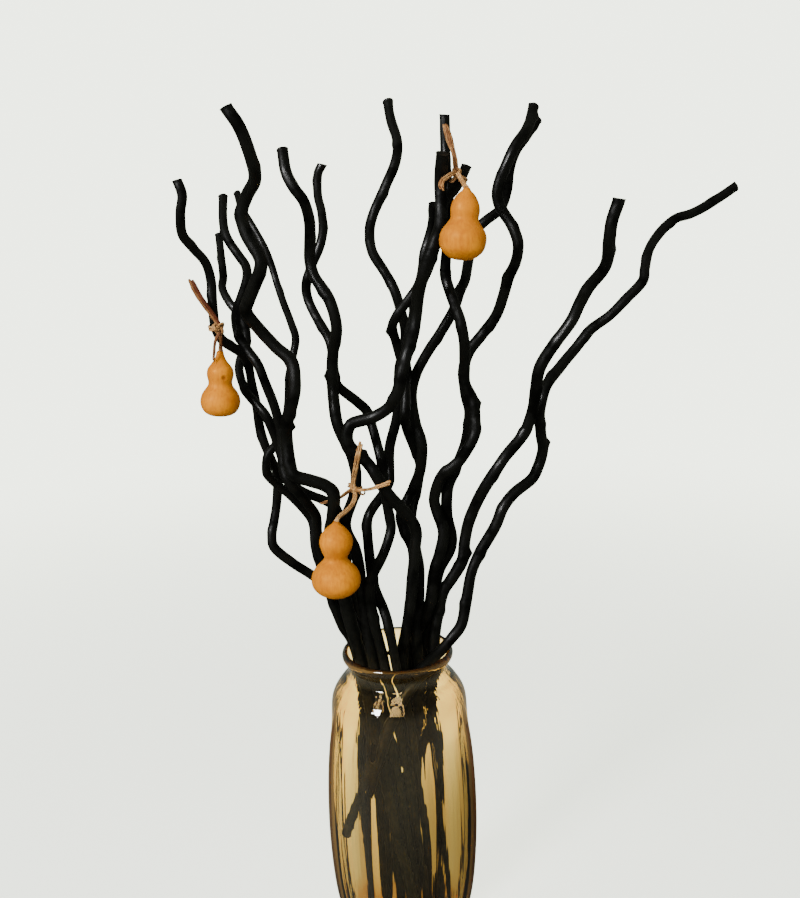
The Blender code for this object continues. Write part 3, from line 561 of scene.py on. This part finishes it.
for name, top, swing, halves in GOURDS:
    length = halves[-1][1]
    shape = bmesh.new()
    age = shape.verts.layers.float.new("age")
    rim = [(0.0, halves[0][1]), *smooth_line(halves, 0.8), (1.4, length), (0.0, length - 0.5)]
    verts = [shape.verts.new((r, 0.0, -d)) for r, d in rim]
    edges = [shape.edges.new(pair) for pair in zip(verts, verts[1:])]
    bmesh.ops.spin(shape, geom=verts + edges, cent=(0, 0, 0), axis=(0, 0, 1), dvec=(0, 0, 0),
                   angle=2 * math.pi, steps=GOURD_SIDES, use_merge=True)
    bmesh.ops.remove_doubles(shape, verts=shape.verts, dist=0.002)
    hang = Matrix.Translation(top) @ Matrix.Rotation(math.radians(swing), 4, "Y")
    for vert in shape.verts:
        x, y, z = vert.co
        out = math.hypot(x, y)
        blossom = math.exp(-(length + z) ** 2) * math.exp(-(out / 2.2) ** 2)
        stalk_end = 0.5 * math.exp(-(z / 1.4) ** 2)
        lump = 1.0 + 0.020 * noise.noise(Vector((x, y, z)) * 0.085 + Vector(top))
        lump += 0.010 * math.cos(5 * math.atan2(y, x)) * math.exp(-(z / 6.0) ** 2)
        vert.co = hang @ Vector((x * lump, y * lump, z))
        darkened = stalk_end + blossom
        if name == "gourd_left":
            apart = (vert.co - DENT).length
            sunken = math.exp(-(apart / DENT_SIZE) ** 2)
            swollen = math.exp(-((apart - SWELLING_AT) / SWELLING_SIZE) ** 2)
            outward = (DENT - hang @ Vector((0.0, 0.0, z))).normalized()
            vert.co += outward * (SWELLING_HEIGHT * swollen - DENT_DEPTH * sunken)
            darkened += 0.9 * sunken
        vert[age] = min(darkened, 1.0)
    bmesh.ops.scale(shape, vec=(0.001, 0.001, 0.001), verts=shape.verts)
    bmesh.ops.recalc_face_normals(shape, faces=shape.faces)
    piece(shape, name + "_skin", name, skin)


# The vines: dried tendrils, tan and stringy, each a few fibres laid side by side that part at the
# ends. A loop goes twice round the stem behind, and is tied off in a small knot in front, from
# which the tendrils and the gourd's stalk run out. Rows are x, y, z and radius in millimetres.
VINES = (
    dict(node="vine_left", stem_at=(-121.2, -29.0, 510.4), run=(-0.143, -0.287, 0.947), loop=4.1,
         knot=(-117.3, -36.2, 510.3), lobes=(1.35, 1.2), knot_tone=0.15,
         strands=(
             (((-117.4, -36.6, 513.2, 1.7), (-121.3, -37.0, 520.0, 1.9),
               (-125.2, -38.0, 526.3, 2.1), (-128.9, -38.5, 532.6, 2.2),
               (-131.9, -38.5, 539.0, 2.2), (-134.4, -38.0, 545.2, 1.6)), 0.004, (0.75, 1.0)),
             (((-118.4, -30.0, 493.2, 1.8), (-118.2, -30.8, 495.6, 1.4),
               (-117.4, -33.6, 499.4, 1.2), (-116.8, -36.4, 503.8, 1.3),
               (-117.5, -36.6, 508.8, 1.4)), 0.05, (0.6, 0.9)),
             (((-116.4, -37.4, 507.5, 1.0), (-119.3, -38.0, 503.6, 1.1),
               (-121.0, -37.5, 498.7, 1.0), (-121.8, -37.0, 493.7, 1.0),
               (-123.0, -36.6, 486.6, 0.8)), 0.03, (0.9, 0.8)),
         )),
    dict(node="vine_top", stem_at=(54.5, -30.0, 607.1), run=(0.463, 0.158, 0.872), loop=4.2,
         knot=(50.6, -38.8, 610.8), lobes=(0.95, 1.1), knot_tone=0.1,
         strands=(
             (((50.9, -39.0, 610.0, 2.0), (50.1, -41.0, 614.9, 2.2), (49.6, -41.5, 619.4, 2.0),
               (48.7, -41.0, 624.0, 1.9), (47.5, -39.5, 628.0, 2.5), (46.2, -37.5, 632.8, 2.9),
               (44.9, -35.5, 638.2, 2.5), (43.5, -34.0, 642.3, 1.4)),
              0.012, (0.55, 0.8, 0.6, 0.45, 0.65)),
             (((50.9, -38.5, 611.2, 1.7), (47.4, -43.5, 609.3, 1.8), (43.6, -49.0, 606.8, 1.8),
               (40.4, -53.0, 604.4, 1.9), (39.3, -55.0, 601.5, 2.0), (40.1, -55.0, 597.6, 1.5)),
              0.03, (0.25, 0.45, 0.3)),
             (((51.2, -37.5, 609.4, 1.2), (49.3, -39.0, 606.3, 1.3), (47.0, -39.5, 604.4, 1.2),
               (46.3, -38.0, 606.0, 0.9)), 0.04, (0.5, 0.4)),
             (((55.6, -60.8, 598.4, 2.3), (54.8, -57.0, 600.6, 1.8), (53.5, -50.0, 604.0, 1.6),
               (52.1, -43.0, 608.0, 1.8), (50.8, -39.0, 611.1, 1.8)), 0.02, (0.2, 0.1, 0.3)),
         )),
    dict(node="vine_front", stem_at=(-28.0, -8.2, 385.2), run=(0.204, 0.04, 0.978), loop=4.9,
         knot=(-28.8, -15.6, 385.7), lobes=(0.75, 0.95), knot_tone=0.15,
         strands=(
             (((-29.2, -15.6, 386.0, 1.7), (-28.2, -20.0, 394.3, 1.7), (-26.5, -27.0, 402.8, 1.9),
               (-24.7, -33.5, 411.7, 1.9), (-22.9, -37.0, 419.5, 1.8), (-20.7, -37.0, 425.8, 1.7)),
              0.004, (0.12, 0.0)),
             (((-29.2, -15.6, 386.0, 1.3), (-26.1, -20.0, 385.9, 1.3), (-20.7, -27.0, 387.5, 1.2),
               (-14.6, -35.0, 390.3, 1.2), (-8.6, -40.5, 393.5, 1.5), (-0.4, -42.0, 396.4, 1.6)),
              0.004, (0.0, 0.05)),
             (((-25.6, -16.6, 384.0, 0.7), (-23.4, -16.4, 381.8, 0.8), (-21.5, -16.4, 381.0, 0.7),
               (-20.4, -17.0, 382.8, 0.6), (-20.9, -18.0, 384.3, 0.5)), 0.0, (0.6,)),
             (((-41.0, -45.8, 369.2, 2.3), (-40.4, -45.0, 370.6, 1.7), (-38.9, -42.0, 371.9, 1.7),
               (-35.0, -36.0, 373.6, 1.8), (-30.9, -29.0, 375.8, 1.9), (-28.4, -22.0, 378.6, 2.0),
               (-27.9, -17.6, 381.9, 1.9), (-29.0, -15.6, 386.0, 1.6)), 0.02, (0.05, 0.2, 0.0)),
             (((-29.3, -15.6, 386.0, 1.4), (-32.8, -16.0, 383.9, 1.5), (-35.9, -15.4, 381.4, 1.4),
               (-39.4, -14.5, 378.7, 1.2), (-43.9, -15.5, 377.4, 1.1), (-47.9, -17.0, 377.0, 1.2),
               (-51.4, -16.0, 375.9, 1.2), (-55.0, -15.0, 374.7, 0.8)), 0.09, (0.8, 0.1, 0.5)),
         )),
)
VINE_SIDES = 10
VINE_STEP = 0.7
# Each fibre's thickness and its place off the strand's middle, as shares of the strand's radius.
FIBRE_SHARE = {1: 1.0, 2: 0.64, 3: 0.58, 5: 0.46}
FIBRES_APART, FRAYED_APART, FRAYED_LENGTH = 0.42, 0.22, 2.5
FIBRE_TAPER = (0.94, 0.85, 0.65)
LOOP_RADIUS, LOOP_START, LOOP_RISE = 0.95, -1.9, 0.3

tendril, tree, shader = new_finish("dried_vine")
shader.inputs["Specular IOR Level"].default_value = 0.15
grain = tree.nodes.new("ShaderNodeAttribute")
grain.attribute_name = "grain"
redness = tree.nodes.new("ShaderNodeAttribute")
redness.attribute_name = "tone"
where = tree.nodes.new("ShaderNodeTexCoord")
fibres = place_group(tree, long_fibres, Across=3.2, Along=0.2, Depth=0.0007)
weathered = place_group(tree, patches, Size=260.0, Low=0.0, High=0.75)
dry = place_group(tree, patches, Size=300.0, Low=0.55, High=0.85)
straw = tree.nodes.new("ShaderNodeValToRGB")
straw.color_ramp.elements[0].position = 0.40
straw.color_ramp.elements[0].color = (0.050, 0.018, 0.006, 1.0)
straw.color_ramp.elements[1].position = 0.64
straw.color_ramp.elements[1].color = (0.70, 0.45, 0.19, 1.0)
straw.color_ramp.elements.new(0.50).color = (0.40, 0.215, 0.075, 1.0)
russet = tree.nodes.new("ShaderNodeValToRGB")
russet.color_ramp.elements[0].position = 0.36
russet.color_ramp.elements[0].color = (0.022, 0.006, 0.003, 1.0)
russet.color_ramp.elements[1].position = 0.66
russet.color_ramp.elements[1].color = (0.115, 0.030, 0.010, 1.0)
mixed = tree.nodes.new("ShaderNodeMixRGB")
faded = add_node(tree, "ShaderNodeMixRGB", Color2=(0.62, 0.46, 0.36, 1.0))
faded.blend_type = "MULTIPLY"
tree.links.new(grain.outputs["Vector"], fibres.inputs["Grain"])
tree.links.new(where.outputs["Object"], weathered.inputs["Place"])
tree.links.new(where.outputs["Object"], dry.inputs["Place"])
tree.links.new(fibres.outputs["Ridge"], straw.inputs["Fac"])
tree.links.new(fibres.outputs["Ridge"], russet.inputs["Fac"])
tree.links.new(redness.outputs["Fac"], mixed.inputs["Fac"])
tree.links.new(straw.outputs["Color"], mixed.inputs["Color1"])
tree.links.new(russet.outputs["Color"], mixed.inputs["Color2"])
tree.links.new(weathered.outputs["Value"], faded.inputs["Fac"])
tree.links.new(mixed.outputs["Color"], faded.inputs["Color1"])
tree.links.new(faded.outputs["Color"], shader.inputs["Base Color"])
tree.links.new(dry.outputs["Value"], shader.inputs["Roughness"])
tree.links.new(fibres.outputs["Normal"], shader.inputs["Normal"])


def fibre_swell(row, angle, way, far, length):
    """Dried fibre: not quite round, and uneven in thickness."""
    spot = Vector((math.cos(angle) * 1.4, math.sin(angle) * 1.4, far * 0.3))
    return 1.0 + 0.16 * noise.noise(spot)


def strand(shape, rows, twist, tones):
    """A stretch of vine: fibres side by side that twine round each other and part at the end."""
    line = smooth_line(rows, VINE_STEP)
    run = np.gradient(line[:, :3], axis=0)
    run /= np.linalg.norm(run, axis=1)[:, None]
    side = np.cross(run, (0.0, 1.0, 0.0))
    side /= np.linalg.norm(side, axis=1)[:, None]
    over = np.cross(run, side)
    far = np.arange(len(line)) * VINE_STEP
    apart = FIBRES_APART + FRAYED_APART * np.exp(-(far[-1] - far) / FRAYED_LENGTH)
    for place, tone in enumerate(tones):
        turn = 2 * math.pi * place / len(tones) + twist * far
        fibre = line.copy()
        if len(tones) > 1:
            fibre[:, :3] += side * (np.cos(turn) * line[:, 3] * apart)[:, None]
            fibre[:, :3] += over * (np.sin(turn) * line[:, 3] * 0.3)[:, None]
        fibre[:, 3] *= FIBRE_SHARE[len(tones)]
        fibre = fibre[:len(fibre) - (place * 2 % 3)]
        fibre[-3:, 3] *= FIBRE_TAPER
        bend_rod(shape, fibre, VINE_SIDES, fibre_swell, tone=tone)


for vine in VINES:
    centre, run, knot = (np.array(vine[key]) for key in ("stem_at", "run", "knot"))
    run /= np.linalg.norm(run)
    front = knot - centre
    front -= run * front.dot(run)
    front /= np.linalg.norm(front)
    across = np.cross(run, front)
    shape = bmesh.new()
    loop = []
    for turned in np.arange(-0.2, 4 * math.pi + 0.4, 0.3):
        spot = centre + (front * math.cos(turned) + across * math.sin(turned)) * vine["loop"]
        loop.append([*(spot + run * (turned * LOOP_RISE + LOOP_START)), LOOP_RADIUS])
    strand(shape, loop, 0.15, (vine["knot_tone"], vine["knot_tone"] + 0.3))
    size, cord = vine["lobes"]
    tie = []
    for t in np.arange(0.0, 2 * math.pi + 0.3, 0.2):
        trefoil = (across * (math.sin(t) + 2 * math.sin(2 * t)) - front * math.sin(3 * t)
                   + run * (math.cos(t) - 2 * math.cos(2 * t)))
        tie.append([*(knot + size * trefoil), cord])
    strand(shape, tie, 0.2, (vine["knot_tone"], vine["knot_tone"] + 0.25))
    for rows, twist, tones in vine["strands"]:
        strand(shape, rows, twist, tones)
    bmesh.ops.recalc_face_normals(shape, faces=shape.faces)
    piece(shape, vine["node"] + "_tendrils", vine["node"], tendril, smooth_angle=70.0)
